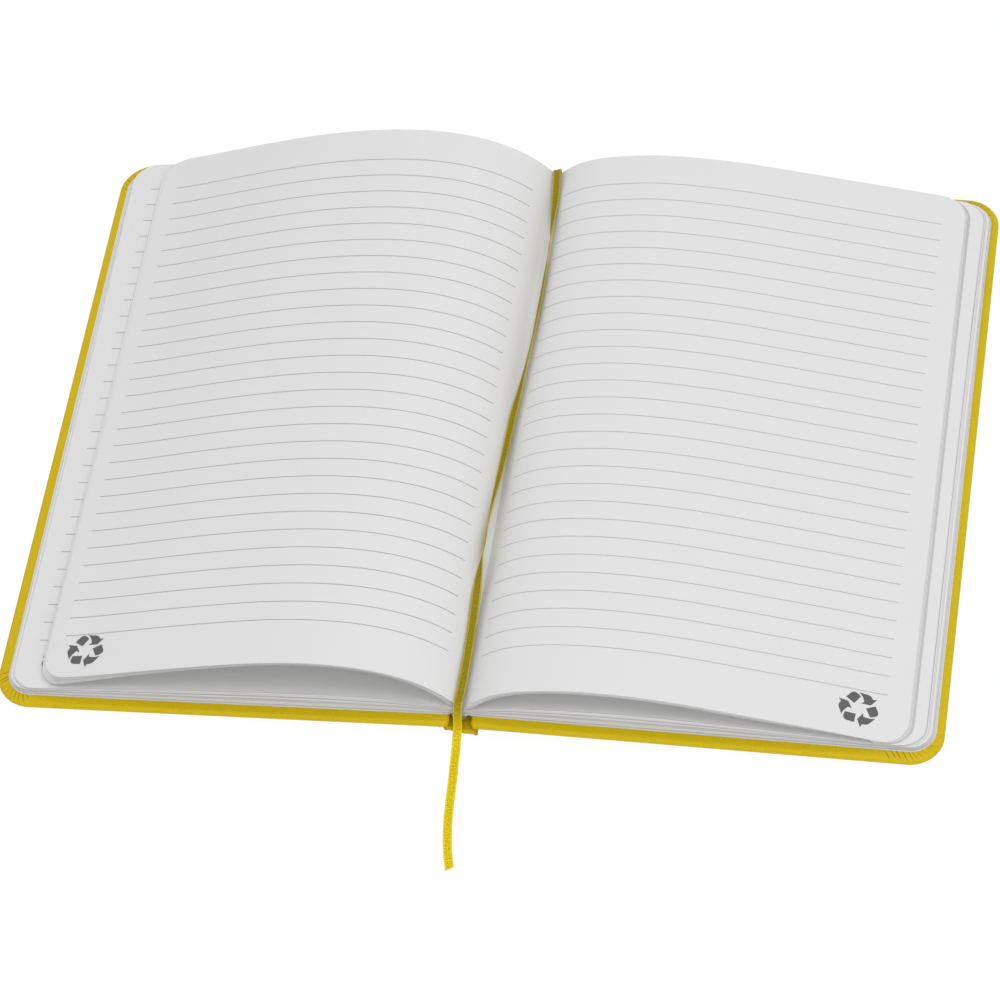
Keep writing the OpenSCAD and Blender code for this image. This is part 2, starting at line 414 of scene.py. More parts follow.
@dataclass(frozen=True)
class SatinRibbon:
    """Woven satin ribbon: long floats along it with painted glitter, two firmer selvedges with painted glints, and a
    paler free end beside the part in the gutter, which is darkened as painted shade.
    """

    name: str = "woven_satin_ribbon"
    # The first three colours are painted shade, for the part that lies in the gutter; the next three are the free
    # end's own colours
    pressed: str = "#9A8C0C"
    pressed_deep: str = "#796C06"
    pressed_selvedge: str = "#CDB71C"
    free: str = "#EDD40E"
    free_deep: str = "#C4A904"
    free_selvedge: str = "#F4E22A"
    pressed_to_mm: float = 207.0
    free_from_mm: float = 219.0
    roughness: float = 0.5
    thread_mm: float = 0.62

    def material(self) -> bpy.types.Material:
        """Makes the ribbon's weave. U runs across the ribbon from 0 to 1, and V along it in metres.

        Returns:
            The material.
        """
        material, tree, shader = start_material(self.name)
        place = add(tree, "ShaderNodeUVMap", uv_map="ribbon").outputs[0]
        across, along = add(tree, "ShaderNodeSeparateXYZ", {0: place}).outputs[:2]
        # The picks are 0.1 mm apart on the real ribbon, drawn six times as coarse, so that the glitter shows; on the
        # selvedges they give lighter dots, which are painted glints
        pick = sum_of(tree, "SINE", sum_of(tree, "MULTIPLY", along, 2 * math.pi / (self.thread_mm * MM)))
        from_middle = sum_of(tree, "ABSOLUTE", sum_of(tree, "SUBTRACT", across, 0.5))
        edge = sum_of(tree, "GREATER_THAN", from_middle, 0.34)
        # The floats' glitter is painted: noise mixes each colour with a darker one in flecks, and the lighter flecks
        # are painted glints
        stretched = add(tree, "ShaderNodeMapping", {"Vector": place, "Scale": (7.0, 2000.0, 1.0)})
        floats = add(tree, "ShaderNodeTexNoise", {"Vector": stretched.outputs[0], "Scale": 1.0, "Detail": 2.0})
        glitter = span(tree, floats.outputs["Fac"], 0.38, 0.62)
        # The part that lies in the gutter gets a darker, duller colour as painted shade, and the end that hangs out
        # over the tail is left bright
        free = span(tree, along, self.pressed_to_mm * MM, self.free_from_mm * MM)
        pressed = mix(tree, glitter, self.pressed_deep, self.pressed)
        ground = mix(tree, free, pressed, mix(tree, glitter, self.free_deep, self.free))
        # The selvedges are drawn lighter, one dot for each pick, as painted glints on their firmer threads
        woven_edge = mix(tree, free, self.pressed_selvedge, self.free_selvedge)
        thread = sum_of(tree, "MULTIPLY", edge, sum_of(tree, "MULTIPLY_ADD", pick, 0.45, 0.55))
        feed(tree, shader, mix(tree, thread, ground, woven_edge), self.roughness, 0.15)
        relief(tree, shader, sum_of(tree, "ADD", pick, glitter), 0.6, 0.04)
        return material


@dataclass(frozen=True)
class Greyboard:
    """Pressed waste-paper board: a flat grey-brown with darker specks."""

    name: str = "pressed_greyboard"
    colour: str = "#9A958C"
    speck: str = "#6F6A62"
    roughness: float = 0.95
    speck_mm: float = 0.9

    def material(self) -> bpy.types.Material:
        """Makes the board.

        Returns:
            The material.
        """
        material, tree, shader = start_material(self.name)
        specks = spots(tree, self.speck_mm, 6.0)
        feed(tree, shader, mix(tree, span(tree, specks, 0.5, 0.75), self.colour, self.speck), self.roughness, 0.5)
        relief(tree, shader, specks, 0.2, 0.1)
        return material


@dataclass(frozen=True)
class BindingGauze:
    """The open-weave gauze glued on the block's back: white threads with glue between them."""

    name: str = "glued_binding_gauze"
    thread: str = "#DADCE2"
    glue: str = "#B9BBC2"
    roughness: float = 0.8
    weave_mm: float = 0.9

    def material(self) -> bpy.types.Material:
        """Makes the gauze.

        Returns:
            The material.
        """
        material, tree, shader = start_material(self.name)
        place = add(tree, "ShaderNodeTexCoord").outputs["Object"]
        waves = {"Vector": place, "Scale": math.pi / (10 * self.weave_mm * MM), "Distortion": 0.6}
        bands = [add(tree, "ShaderNodeTexWave", waves, bands_direction=axis).outputs["Fac"] for axis in ("X", "Y")]
        weave = sum_of(tree, "MAXIMUM", *bands)
        feed(tree, shader, mix(tree, weave, self.glue, self.thread), self.roughness, 0.5)
        relief(tree, shader, weave, 0.4, 0.1)
        return material


@dataclass(frozen=True)
class PrintedInk:
    """Grey offset ink on uncoated paper: flat, with the paper's fibre showing through a little."""

    name: str = "grey_offset_ink"
    colour: str = "#565656"
    thin: str = "#646464"
    roughness: float = 0.9
    fibre_mm: float = 0.5

    def material(self) -> bpy.types.Material:
        """Makes the ink.

        Returns:
            The material.
        """
        material, tree, shader = start_material(self.name)
        feed(tree, shader, mix(tree, spots(tree, self.fibre_mm, 2.0), self.colour, self.thin), self.roughness, 0.5)
        return material


def nothing_selected() -> None:
    """Goes back to object mode with nothing selected."""
    if bpy.context.object is not None and bpy.context.object.mode != "OBJECT":
        bpy.ops.object.mode_set(mode="OBJECT")
    bpy.ops.object.select_all(action="DESELECT")


def only(piece: bpy.types.Object) -> None:
    """Makes the piece the one that is selected and active.

    Args:
        piece: the object to work on.
    """
    nothing_selected()
    piece.select_set(True)
    bpy.context.view_layer.objects.active = piece


def place_in_mesh(piece: bpy.types.Object) -> None:
    """Moves the piece's place and size into its mesh, so that its object sits at the origin."""
    only(piece)
    bpy.ops.object.transform_apply(location=True, rotation=True, scale=True)


def newest(name: str) -> bpy.types.Object:
    """Names the object that was added last, and returns it."""
    piece = bpy.context.object
    piece.name = piece.data.name = name
    return piece


def box(name: str, sides: Sequence[float], middle: Sequence[float]) -> bpy.types.Object:
    """Makes a block of the given sides round the given middle, in millimetres."""
    nothing_selected()
    bpy.ops.mesh.primitive_cube_add(size=1, location=[place * MM for place in middle])
    block = newest(name)
    block.scale = [side * MM for side in sides]
    place_in_mesh(block)
    return block


def thicken(piece: bpy.types.Object, thickness: float, offset: float) -> None:
    """Makes a sheet as thick as given: inwards of it where offset is -1, and to both sides where it is 0."""
    wall = piece.modifiers.new("wall", "SOLIDIFY")
    wall.thickness = thickness * MM
    wall.offset = offset
    only(piece)
    bpy.ops.object.modifier_apply(modifier=wall.name)


def close_up(piece: bpy.types.Object) -> None:
    """Merges doubled points and turns every face outwards."""
    only(piece)
    bpy.ops.object.mode_set(mode="EDIT")
    bpy.ops.mesh.select_all(action="SELECT")
    bpy.ops.mesh.remove_doubles(threshold=0.001 * MM)
    bpy.ops.mesh.normals_make_consistent(inside=False)
    bpy.ops.object.mode_set(mode="OBJECT")


def smooth(piece: bpy.types.Object, degrees: float = 30) -> None:
    """Shades the piece smooth, apart from edges sharper than the given angle."""
    only(piece)
    bpy.ops.object.shade_smooth_by_angle(angle=math.radians(degrees))


def choose(
    piece: bpy.types.Object, kind: str, test: Callable[[bmesh.types.BMFace | bmesh.types.BMEdge], bool]
) -> None:
    """Selects the faces or edges that pass a test, and nothing else. The piece is in edit mode.

    Args:
        piece: the object in edit mode.
        kind: FACE or EDGE.
        test: says whether a face or an edge is meant.
    """
    bpy.ops.mesh.select_mode(type=kind)
    bpy.ops.mesh.select_all(action="DESELECT")
    mesh = bmesh.from_edit_mesh(piece.data)
    for part in [part for part in (mesh.faces if kind == "FACE" else mesh.edges) if test(part)]:
        part.select_set(True)
    bmesh.update_edit_mesh(piece.data)


def points_of(piece: bpy.types.Object) -> np.ndarray:
    """The piece's points as an array of x, y and z, in millimetres."""
    flat = np.empty(len(piece.data.vertices) * 3)
    piece.data.vertices.foreach_get("co", flat)
    return flat.reshape(-1, 3) / MM


def put_points(piece: bpy.types.Object, points: np.ndarray) -> None:
    """Moves the piece's points to new places, given in millimetres."""
    piece.data.vertices.foreach_set("co", (points * MM).ravel())
    piece.data.update()


def smooth_step(low: float, high: float, value: np.ndarray) -> np.ndarray:
    """Rises smoothly from 0 at low to 1 at high."""
    t = np.clip((value - low) / (high - low), 0, 1)
    return t * t * (3 - 2 * t)


@dataclass(frozen=True)
class Arc:
    """A cubic curve in the section, across the notebook, that only runs outwards."""

    start: tuple[float, float]
    rise: tuple[float, float]
    fall: tuple[float, float]
    end: tuple[float, float]

    def height(self, x: np.ndarray) -> np.ndarray:
        """The curve's height at each x, in millimetres."""
        p = np.array([self.start, np.add(self.start, self.rise), np.add(self.end, self.fall), self.end])
        t = np.linspace(0, 1, 600)[:, None]
        run = (1 - t) ** 3 * p[0] + 3 * t * (1 - t) ** 2 * p[1] + 3 * t * t * (1 - t) * p[2] + t**3 * p[3]
        return np.interp(x, run[:, 0], run[:, 1])


@dataclass(frozen=True)
class Sag:
    """How much higher the paper lies than its plain curve, at places across the page, at the head and at the tail."""

    places: tuple[float, ...]
    head: tuple[float, ...]
    tail: tuple[float, ...]
    tail_power: float = 1.0

    def eased(self, x: np.ndarray, values: Sequence[float]) -> np.ndarray:
        """Runs a smooth curve through the values at the places, and reads it at each x."""
        knots, heights = np.array(self.places), np.array(values)
        slopes = np.gradient(heights, knots)
        cell = np.clip(np.searchsorted(knots, x) - 1, 0, len(knots) - 2)
        step = knots[cell + 1] - knots[cell]
        t = np.clip((x - knots[cell]) / step, 0, 1)
        rise = (1 + 2 * t) * (1 - t) ** 2 * heights[cell] + t * t * (3 - 2 * t) * heights[cell + 1]
        return rise + step * t * (1 - t) * ((1 - t) * slopes[cell] - t * slopes[cell + 1])

    def height(self, x: np.ndarray, y: np.ndarray) -> np.ndarray:
        """The extra height at each x and y, in millimetres."""
        share = np.clip(0.5 - y / PAGE_H, 0, 1) ** self.tail_power
        return self.eased(x, self.head) * (1 - share) + self.eased(x, self.tail) * share


def under_height(x: np.ndarray) -> np.ndarray:
    """Height of the plane on which the leaves lie, which follows the tilted board."""
    return BACK_Z - np.maximum(x - BOARD_GAP / 2, 0) * math.tan(TILT)


STACK_END = (PAGE_W, float(under_height(np.array(PAGE_W))) + 1.7)
STACK = Arc(GAP_START, (21.2, 5.9), (-62.2, 6.8), STACK_END)
CREASE = (0.0, BACK_Z + CREASE_T)


def stack_height(x: np.ndarray) -> np.ndarray:
    """Height of the upper side of the lower leaves."""
    near = CREASE[1] + (GAP_START[1] - CREASE[1]) * np.clip(x / GAP_START[0], 0, 1)
    return np.where(x < GAP_START[0], near, STACK.height(x))


@dataclass(frozen=True)
class Pile:
    """One group of leaves: where it lies in the height of the leaves and how far it reaches.

    The shares say where its lower and upper sides lie between the height's lowest and highest leaf. Reach is the
    distance of its fore-edge from the spine's middle, at its lower and its upper side. Skew is how much further its
    fore-edge reaches at the head.
    """

    name: str
    shares: tuple[float, float]
    reach: tuple[float, float]
    bundles: int
    ruled: bool = False
    corner_r: float = PAGE_CORNER_R
    skew: float = 0.0


@dataclass(frozen=True)
class ReturnMark:
    """The generic three-arrow sign for recycled paper, printed near the page's outer lower corner.

    The two outlines are one third of the sign, in millimetres from its middle: a folded band and the arrow after it.
    """

    thickness: float = 0.03
    band: tuple[tuple[float, float], ...] = (
        (-3.8, 3.15), (-2.8, 4.55), (-2.35, 5.1), (-1.85, 5.35), (-1.3, 5.32), (-0.75, 5.05), (-0.2, 4.6),
        (0.25, 4.1), (-1.4, 1.55),
    )  # fmt: skip
    arrow: tuple[tuple[float, float], ...] = (
        (-0.4, 5.5), (2.15, 5.15), (2.75, 4.98), (3.2, 4.6), (3.75, 3.75), (4.9, 3.9), (3.2, 1.75), (0.45, 1.9),
        (1.35, 2.5), (1.1, 3.5), (0.65, 4.4), (0.1, 5.1),
    )  # fmt: skip

    def build(self, name: str, middle: tuple[float, float], surface: Callable) -> None:
        """Prints the six fields of the sign on a page.

        Args:
            name: the sign's name.
            middle: where its middle lies, along X and Y.
            surface: gives the page's height at x and y.
        """
        ink = PrintedInk(name=f"{name}_grey_offset_ink").material()
        for third in range(3):
            turn = -math.radians(120 * third)
            for shape, outline in (("band", self.band), ("arrow", self.arrow)):
                nothing_selected()
                bpy.ops.mesh.primitive_circle_add(vertices=len(outline), radius=MM, fill_type="NGON")
                patch = newest(f"{name}_{shape}_{third + 1}")
                flat = np.array(outline)
                x = flat[:, 0] * math.cos(turn) - flat[:, 1] * math.sin(turn) + middle[0]
                y = flat[:, 0] * math.sin(turn) + flat[:, 1] * math.cos(turn) + middle[1]
                put_points(patch, np.stack([x, y, np.zeros(len(x))], 1))
                bpy.ops.object.mode_set(mode="EDIT")
                bpy.ops.mesh.select_all(action="SELECT")
                bpy.ops.mesh.quads_convert_to_tris(ngon_method="BEAUTY")
                bpy.ops.mesh.subdivide(number_cuts=1)
                bpy.ops.mesh.select_all(action="SELECT")
                bpy.ops.mesh.extrude_region_move(TRANSFORM_OT_translate={"value": (0, 0, self.thickness * MM)})
                bpy.ops.object.mode_set(mode="OBJECT")
                points = points_of(patch)
                points[:, 2] += surface(points[:, 0], points[:, 1]) + 0.006
                put_points(patch, points)
                close_up(patch)
                patch.data.materials.append(ink)
                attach(patch, "block")
        LOG.info("%s: six printed fields", name)


@dataclass
class LeafHalf:
    """The leaves of one half of the open notebook."""

    side: Side
    pile_end: tuple[float, float]
    top_rise: tuple[float, float]
    top_fall: tuple[float, float]
    landing: float
    under_rise: tuple[float, float]
    under_fall: tuple[float, float]
    lower: Sequence[Pile]
    arched: Sequence[Pile]
    arch_sag: Sag
    stack_sag: Sag
    ruled: tuple[float, float]
    lower_ruled: tuple[float, float]
    first_line: float
    lower_first_line: float
    mark_at: tuple[float, float]
    lower_mark_at: tuple[float, float] | None = None
    ruling: str = "#A3A3A3"
    arch_shift_y: float = 0.0
    corner_lift: float = 0.0
    columns: int = 72
    rows: int = 24
    ridge_mm: float = 0.1
    edges: bpy.types.Material = field(init=False)
    paper: bpy.types.Material = field(init=False)

    def __post_init__(self) -> None:
        """Makes the paper that the half's leaves share."""
        self.edges = TrimmedLeaves(name=f"{self.side.word}_guillotined_leaf_edges").material()
        self.paper = WritingPaper(name=f"{self.side.word}_plain_writing_paper").material()

    def stack_bottom(self, x: np.ndarray, y: np.ndarray) -> np.ndarray:
        """Height of the lowest leaf's underside, which bends down a little over the block's back."""
        return under_height(x) - 1.5 * np.exp(-((x / 2.4) ** 2))

    def stack_top(self, x: np.ndarray, y: np.ndarray) -> np.ndarray:
        """Height of the upper side of the lower leaves."""
        return stack_height(x) + self.stack_sag.height(x, y)

    def arch_top(self, x: np.ndarray, y: np.ndarray) -> np.ndarray:
        """Height of the highest leaf."""
        return Arc(CREASE, self.top_rise, self.top_fall, self.pile_end).height(x) + self.arch_sag.height(x, y)

    def arch_under(self, x: np.ndarray, y: np.ndarray) -> np.ndarray:
        """Height of the lowest arched leaf's underside, which rests on the lower leaves near the fore-edge."""
        land = PAGE_W - self.landing
        end = (land, float(stack_height(np.array(land))))
        arch = Arc(GAP_START, self.under_rise, self.under_fall, end).height(x)
        free = arch + self.arch_sag.height(x, y) * (1 - smooth_step(0.55 * land, land, x))
        resting = self.stack_top(x, y) + 0.05
        tail = np.clip(0.5 - y / PAGE_H, 0, 1) ** 4
        lifted = np.where(x > land, resting, np.maximum(free, resting))
        lifted = lifted + self.corner_lift * tail * smooth_step(land - 20, PAGE_W - 10, x)
        return np.where(x < GAP_START[0], np.minimum(lifted, self.arch_top(x, y) - 0.3), lifted)

    def flat_leaf(self, name: str, reach: float, corner_r: float) -> bpy.types.Object:
        """Lays out a flat leaf with two rounded corners at its fore-edge, on the positive side of X.

        Args:
            name: the piece's name.
            reach: the fore-edge's distance from the spine's middle.
            corner_r: the corners' radius.

        Returns:
            The flat, open sheet.
        """
        nothing_selected()
        bpy.ops.mesh.primitive_grid_add(
            x_subdivisions=self.columns, y_subdivisions=self.rows, size=1, location=(reach / 2 * MM, 0, 0)
        )
        leaf = newest(name)
        leaf.scale = (reach * MM, PAGE_H * MM, 1)
        place_in_mesh(leaf)
        bpy.ops.object.mode_set(mode="EDIT")
        steps = 9
        for end in (-1, 1):
            middle = (reach - corner_r, end * (PAGE_H / 2 - corner_r))
            for step in range(1, steps):
                turn = math.radians(90 * step / steps)
                out = (math.cos(turn), end * math.sin(turn))
                bpy.ops.mesh.select_all(action="SELECT")
                bpy.ops.mesh.bisect(
                    plane_co=((middle[0] + corner_r * out[0]) * MM, (middle[1] + corner_r * out[1]) * MM, 0),
                    plane_no=(out[0], out[1], 0),
                    clear_outer=True,
                )
        bpy.ops.object.mode_set(mode="OBJECT")
        return leaf

    def build_pile(self, pile: Pile, low: Callable, high: Callable, shift_y: float, line: float) -> None:
        """Builds one group of leaves as a closed block, and bends it to its place.

        Args:
            pile: the group.
            low: height of the lowest leaf of the whole height at x and y.
            high: height of the highest leaf there.
            shift_y: how far the group lies off the middle towards the head.
            line: the place of its first ruled line.
        """
        reach = max(pile.reach)
        block = self.flat_leaf(f"{self.side.word}_{pile.name}", reach, pile.corner_r)
        rings = 2 * pile.bundles
        bpy.ops.object.mode_set(mode="EDIT")
        bpy.ops.mesh.select_all(action="SELECT")
        for _ in range(rings):
            bpy.ops.mesh.extrude_region_move(TRANSFORM_OT_translate={"value": (0, 0, MM)})
        bpy.ops.object.mode_set(mode="OBJECT")
        self.dress(block, pile, rings, line)
        points = points_of(block)
        x, y, ring = points[:, 0], points[:, 1], np.round(points[:, 2])
        share = ring / rings
        # Every second ring is drawn in a little, which leaves one fine ridge for each bundle of leaves
        inward = self.ridge_mm * (ring % 2)
        over_x = np.maximum(x - (reach - pile.corner_r), 0)
        over_y = np.maximum(np.abs(y) - (PAGE_H / 2 - pile.corner_r), 0)
        out = np.stack([over_x, np.sign(y) * over_y], 1)
        length = np.maximum(np.linalg.norm(out, axis=1), 1e-9)
        shifted = points[:, :2] - out / length[:, None] * inward[:, None]
        width = pile.reach[0] * (1 - share) + pile.reach[1] * share
        width = width + pile.skew * np.clip(y / PAGE_H + 0.5, 0, 1) ** 2
        new_x, new_y = shifted[:, 0] * width / reach, shifted[:, 1]
        level = pile.shares[0] * (1 - share) + pile.shares[1] * share
        z = low(new_x, new_y) * (1 - level) + high(new_x, new_y) * level
        through = block.data.attributes.new("leaf_height", "FLOAT", "POINT")
        through.data.foreach_set("value", (level * 6.2 + (7.0 if low == self.arch_under else 0.0)).astype(np.float32))
        put_points(block, np.stack([self.side.value * new_x + BLOCK_SHIFT, new_y + shift_y, z], 1))
        close_up(block)
        smooth(block, 35)
        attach(block, "block")
        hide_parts("text_block")
        LOG.info("%s: %d faces", block.name, len(block.data.polygons))

    def dress(self, block: bpy.types.Object, pile: Pile, rings: int, line: float) -> None:
        """Gives the flat faces of a group their paper and its edges the trimmed look, while it still lies flat.

        Args:
            block: the group of leaves.
            pile: what it is like.
            rings: how many rings of faces run round its edge.
            line: the place of its first ruled line.
        """
        block.data.materials.append(self.edges)
        block.data.materials.append(self.paper)
        if pile.ruled:
            start, end = self.ruled if pile in self.arched else self.lower_ruled
            low, high = sorted((self.side.value * start + BLOCK_SHIFT, self.side.value * end + BLOCK_SHIFT))
            paper = WritingPaper(
                name=f"{block.name}_ruled_paper",
                ruling=self.ruling,
                first_line_mm=line,
                ruled_from_mm=low,
                ruled_to_mm=high,
            )
            block.data.materials.append(paper.material())
        for face in block.data.polygons:
            heights = [block.data.vertices[v].co.z for v in face.vertices]
            flat = max(heights) - min(heights) < 0.5 * MM
            top = flat and min(heights) > (rings - 0.5) * MM
            face.material_index = 0 if not flat else 2 if pile.ruled and top else 1

    def build(self) -> None:
        """Builds every group of the half, and prints the sign on its upper page."""
        for pile in self.lower:
            self.build_pile(pile, self.stack_bottom, self.stack_top, 0.0, self.lower_first_line)
        for pile in self.arched:
            self.build_pile(pile, self.arch_under, self.arch_top, self.arch_shift_y, self.first_line)

        def page(x: np.ndarray, y: np.ndarray) -> np.ndarray:
            """The upper page's height at a place on the notebook."""
            return self.arch_top(self.side.value * (x - BLOCK_SHIFT), y - self.arch_shift_y)

        def lower_page(x: np.ndarray, y: np.ndarray) -> np.ndarray:
            """The height of the page under the arched leaves."""
            return self.stack_top(self.side.value * (x - BLOCK_SHIFT), y)

        ReturnMark().build(f"{self.side.word}_mark", self.mark_at, page)
        if self.lower_mark_at:
            ReturnMark().build(f"{self.side.word}_lower_mark", self.lower_mark_at, lower_page)


@dataclass
class Cover:
    """One board of the cover, wrapped in leatherette, with its half of the endpaper and the flyleaf over it.

    The cover lies a little out of square: head_in is how much lower its outer corner at the head lies, and paper_skew
    is how much further its papers reach out there.
    """

    side: Side
    endpaper: bpy.types.Material
    start: float = 0.0
    reach: float = COVER_W
    corner_r: float = COVER_CORNER_R
    paste_reach: float = 131.9
    fly_reach: float = 131.3
    edge_r: float = 0.95
    inner_r: float = 1.7
    arc_steps: int = 32
    rim_steps: int = 5
    pleats_mm: tuple[float, float] = (-9.5, 8.6)
    pleat_slant: float = -0.5
    head_in: float = 0.0
    paper_skew: float = 0.0

    def to_place(self, piece: bpy.types.Object) -> None:
        """Turns and moves what was built flat on the table to the cover's place, a little out of square."""
        points = points_of(piece)
        outward = np.clip(points[:, 0] / self.reach, 0, 1)
        points[:, 1] -= self.head_in * outward * np.clip(points[:, 1] / (COVER_H / 2), 0, 1)
        put_points(piece, points)
        tilt = Matrix.Rotation(TILT, 4, "Y")
        place = Matrix.Translation(Vector((BOARD_GAP / 2 * MM, 0, HINGE_LIFT * MM)))
        mirror = Matrix.Diagonal(Vector((self.side.value, 1, 1, 1)))
        piece.data.transform(mirror @ place @ tilt)
        close_up(piece)

    def slab(
        self,
        name: str,
        across: tuple[float, float],
        length: float,
        heights: tuple[float, float],
        corner_r: float,
        edge_r: float,
        steps: int,
        turn_in: Sequence[float] = (),
    ) -> bpy.types.Object:
        """Makes a flat board with two rounded corners at its fore-edge, and softened edges where they are asked for.

        Args:
            name: the piece's name.
            across: where it starts and ends, out from the cover's inner edge.
            length: its length along the spine.
            heights: the heights of its underside and its upper side.
            corner_r: the radius of its two corners.
            edge_r: the radius of its edges, or zero for sharp edges.
            steps: how many faces make one corner.
            turn_in: widths of the bands that are left of the upper side, round its edge. Nothing is cut out without.

        Returns:
            The board.
        """
        (start, end), (low, high) = across, heights
        slab = box(name, (end - start, length, high - low), ((start + end) / 2, 0, (low + high) / 2))
        bpy.ops.object.mode_set(mode="EDIT")

        def upright(edge: bmesh.types.BMEdge, far: bool) -> bool:
            """Says whether an edge stands at the fore-edge, or at the inner edge."""
            corners = all((v.co.x > (start + end) / 2 * MM) == far for v in edge.verts)
            return corners and abs(edge.verts[0].co.z - edge.verts[1].co.z) > 1e-6

        choose(slab, "EDGE", lambda e: upright(e, True))
        bpy.ops.mesh.bevel(offset=corner_r * MM, segments=steps, affect="EDGES")
        if turn_in:
            choose(slab, "FACE", lambda f: f.normal.z > 0.99)
            for band in turn_in:
                bpy.ops.mesh.inset(thickness=band * MM, depth=0)
            bpy.ops.mesh.delete(type="FACE")
        if edge_r:
            choose(slab, "EDGE", lambda e: upright(e, False))
            bpy.ops.mesh.bevel(offset=self.inner_r * MM, segments=8, affect="EDGES")

            def arris(edge: bmesh.types.BMEdge) -> bool:
                """Says whether an edge lies between an upright face and a level one."""
                tilts = sorted(abs(f.normal.z) for f in edge.link_faces)
                return len(tilts) == 2 and tilts[0] < 0.01 and tilts[1] > 0.99

            choose(slab, "EDGE", arris)
            bpy.ops.mesh.bevel(offset=edge_r * MM, segments=self.rim_steps, affect="EDGES")
        bpy.ops.object.mode_set(mode="OBJECT")
        return slab

    def wrap(self) -> None:
        """Makes the leatherette: a thin wrap round the board, open inside its turned-in edges."""
        name = f"{self.side.word}_cover_leather"
        bands = (self.edge_r + 0.6, 0.6, 0.6, 0.6, 1.0)
        wrap = self.slab(
            name,
            (self.start, self.reach),
            COVER_H,
            (0, COVER_T),
            self.corner_r,
            self.edge_r,
            self.arc_steps,
            (*bands, TURN_IN_W - sum(bands)),
        )
        self.note_places(wrap)
        thicken(wrap, LEATHER_T, -1)
        self.to_place(wrap)
        leather = Leatherette(
            name=f"{self.side.word}_polyurethane_leatherette",
            corner_at_mm=COVER_H / 2 + (math.pi / 4 - 1) * self.corner_r,
            pleats_mm=self.pleats_mm,
            pleat_slant=self.pleat_slant,
        )
        wrap.data.materials.append(leather.material())
        smooth(wrap, 40)
        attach(wrap, self.side.cover)
        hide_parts(f"{self.side.word}_leatherette")
        LOG.info("%s: %d faces", wrap.name, len(wrap.data.polygons))

    def note_places(self, wrap: bpy.types.Object) -> None:
        """Notes for each point of the flat wrap where it lies along the board's outline and how far inside it."""
        x, y, z = points_of(wrap).T
        over_x = x - (self.reach - self.corner_r)
        over_y = np.abs(y) - (COVER_H / 2 - self.corner_r)
        in_corner = (over_x > 0) & (over_y > 0)
        at_rim = self.corner_r * np.arctan2(np.maximum(over_y, 0), np.maximum(over_x, 1e-9))
        at_end = self.corner_r * math.pi / 2 - over_x
        beside = over_y > over_x
        along = np.where(in_corner, at_rim, np.where(beside, at_end, over_y)) + COVER_H / 2 - self.corner_r
        inside = self.corner_r - np.where(in_corner, np.hypot(over_x, over_y), np.where(beside, over_y, over_x))
        for name, values in (("outline_place", np.sign(y) * along), ("from_rim", inside - (COVER_T - z))):
            note = wrap.data.attributes.new(name, "FLOAT", "POINT")
            note.data.foreach_set("value", values.astype(np.float32))

    def board(self) -> None:
        """Makes the greyboard inside the wrap, with edges softened by the wrap's pull."""
        inset = LEATHER_T + 0.03
        board = self.slab(
            f"{self.side.word}_greyboard",
            (self.start + inset, self.reach - inset),
            COVER_H - 2 * inset,
            (inset, COVER_T - inset),
            self.corner_r - inset,
            0.7,
            24,
        )
        self.to_place(board)
        board.data.materials.append(Greyboard(name=f"{self.side.word}_pressed_greyboard").material())
        smooth(board, 40)
        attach(board, self.side.cover)
        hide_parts(f"{self.side.word}_board")
        LOG.info("%s: %d faces", board.name, len(board.data.polygons))

    def paper(self, word: str, across: tuple[float, float], length: float, corner_r: float, low: float) -> None:
        """Makes one half of the endpaper, pasted on the cover or free on the block.

        Args:
            word: pastedown or flyleaf.
            across: where it starts and ends, out from the cover's inner edge.
            length: its length along the spine.
            corner_r: the radius of its corners.
            low: the height of its underside over the table, before the cover is tilted.
        """
        sheet = self.slab(f"{self.side.word}_{word}_sheet", across, length, (low, low + 0.15), corner_r, 0, 16)
        points = points_of(sheet)
        outward = np.clip(points[:, 0] / self.reach, 0, 1)
        points[:, 0] += self.paper_skew * outward * np.clip(points[:, 1] / PAGE_H + 0.5, 0, 1) ** 2
        put_points(sheet, points)
        self.to_place(sheet)
        sheet.data.materials.append(self.endpaper)
        smooth(sheet, 30)
        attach(sheet, self.side.cover if word == "pastedown" else "block")
        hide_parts(f"{self.side.word}_{word}")
        LOG.info("%s: %d faces", sheet.name, len(sheet.data.polygons))

    def build(self) -> None:
        """Builds the wrap, its board and both halves of the endpaper."""
        self.wrap()
        self.board()
        paste_r = self.corner_r - (self.reach - self.paste_reach)
        self.paper("pastedown", (self.start + 0.9, self.paste_reach), PASTEDOWN_H, paste_r, COVER_T + 0.005)
        self.paper("flyleaf", (2.5, self.fly_reach), PAGE_H, PAGE_CORNER_R, COVER_T + 0.45)


def bent_strip(name: str, run: Sequence[tuple[float, float]], length: float, rows: int) -> bpy.types.Object:
    """Makes a long strip along Y whose section follows a list of points.

    Args:
        name: the piece's name.
        run: the section's points, across and up, in millimetres.
        length: the strip's length.
        rows: how many rows of faces lie along it.

    Returns:
        The open strip, centred on the notebook's length.
    """
    nothing_selected()
    bpy.ops.mesh.primitive_grid_add(x_subdivisions=len(run) - 1, y_subdivisions=rows, size=1)
    strip = newest(name)
    points = points_of(strip) * MM
    place = np.clip((points[:, 0] + 0.5) * (len(run) - 1), 0, len(run) - 1)
    section = np.array(run)
    across = np.interp(place, range(len(run)), section[:, 0])
    up = np.interp(place, range(len(run)), section[:, 1])
    put_points(strip, np.stack([across, points[:, 1] * length, up], 1))
    return strip


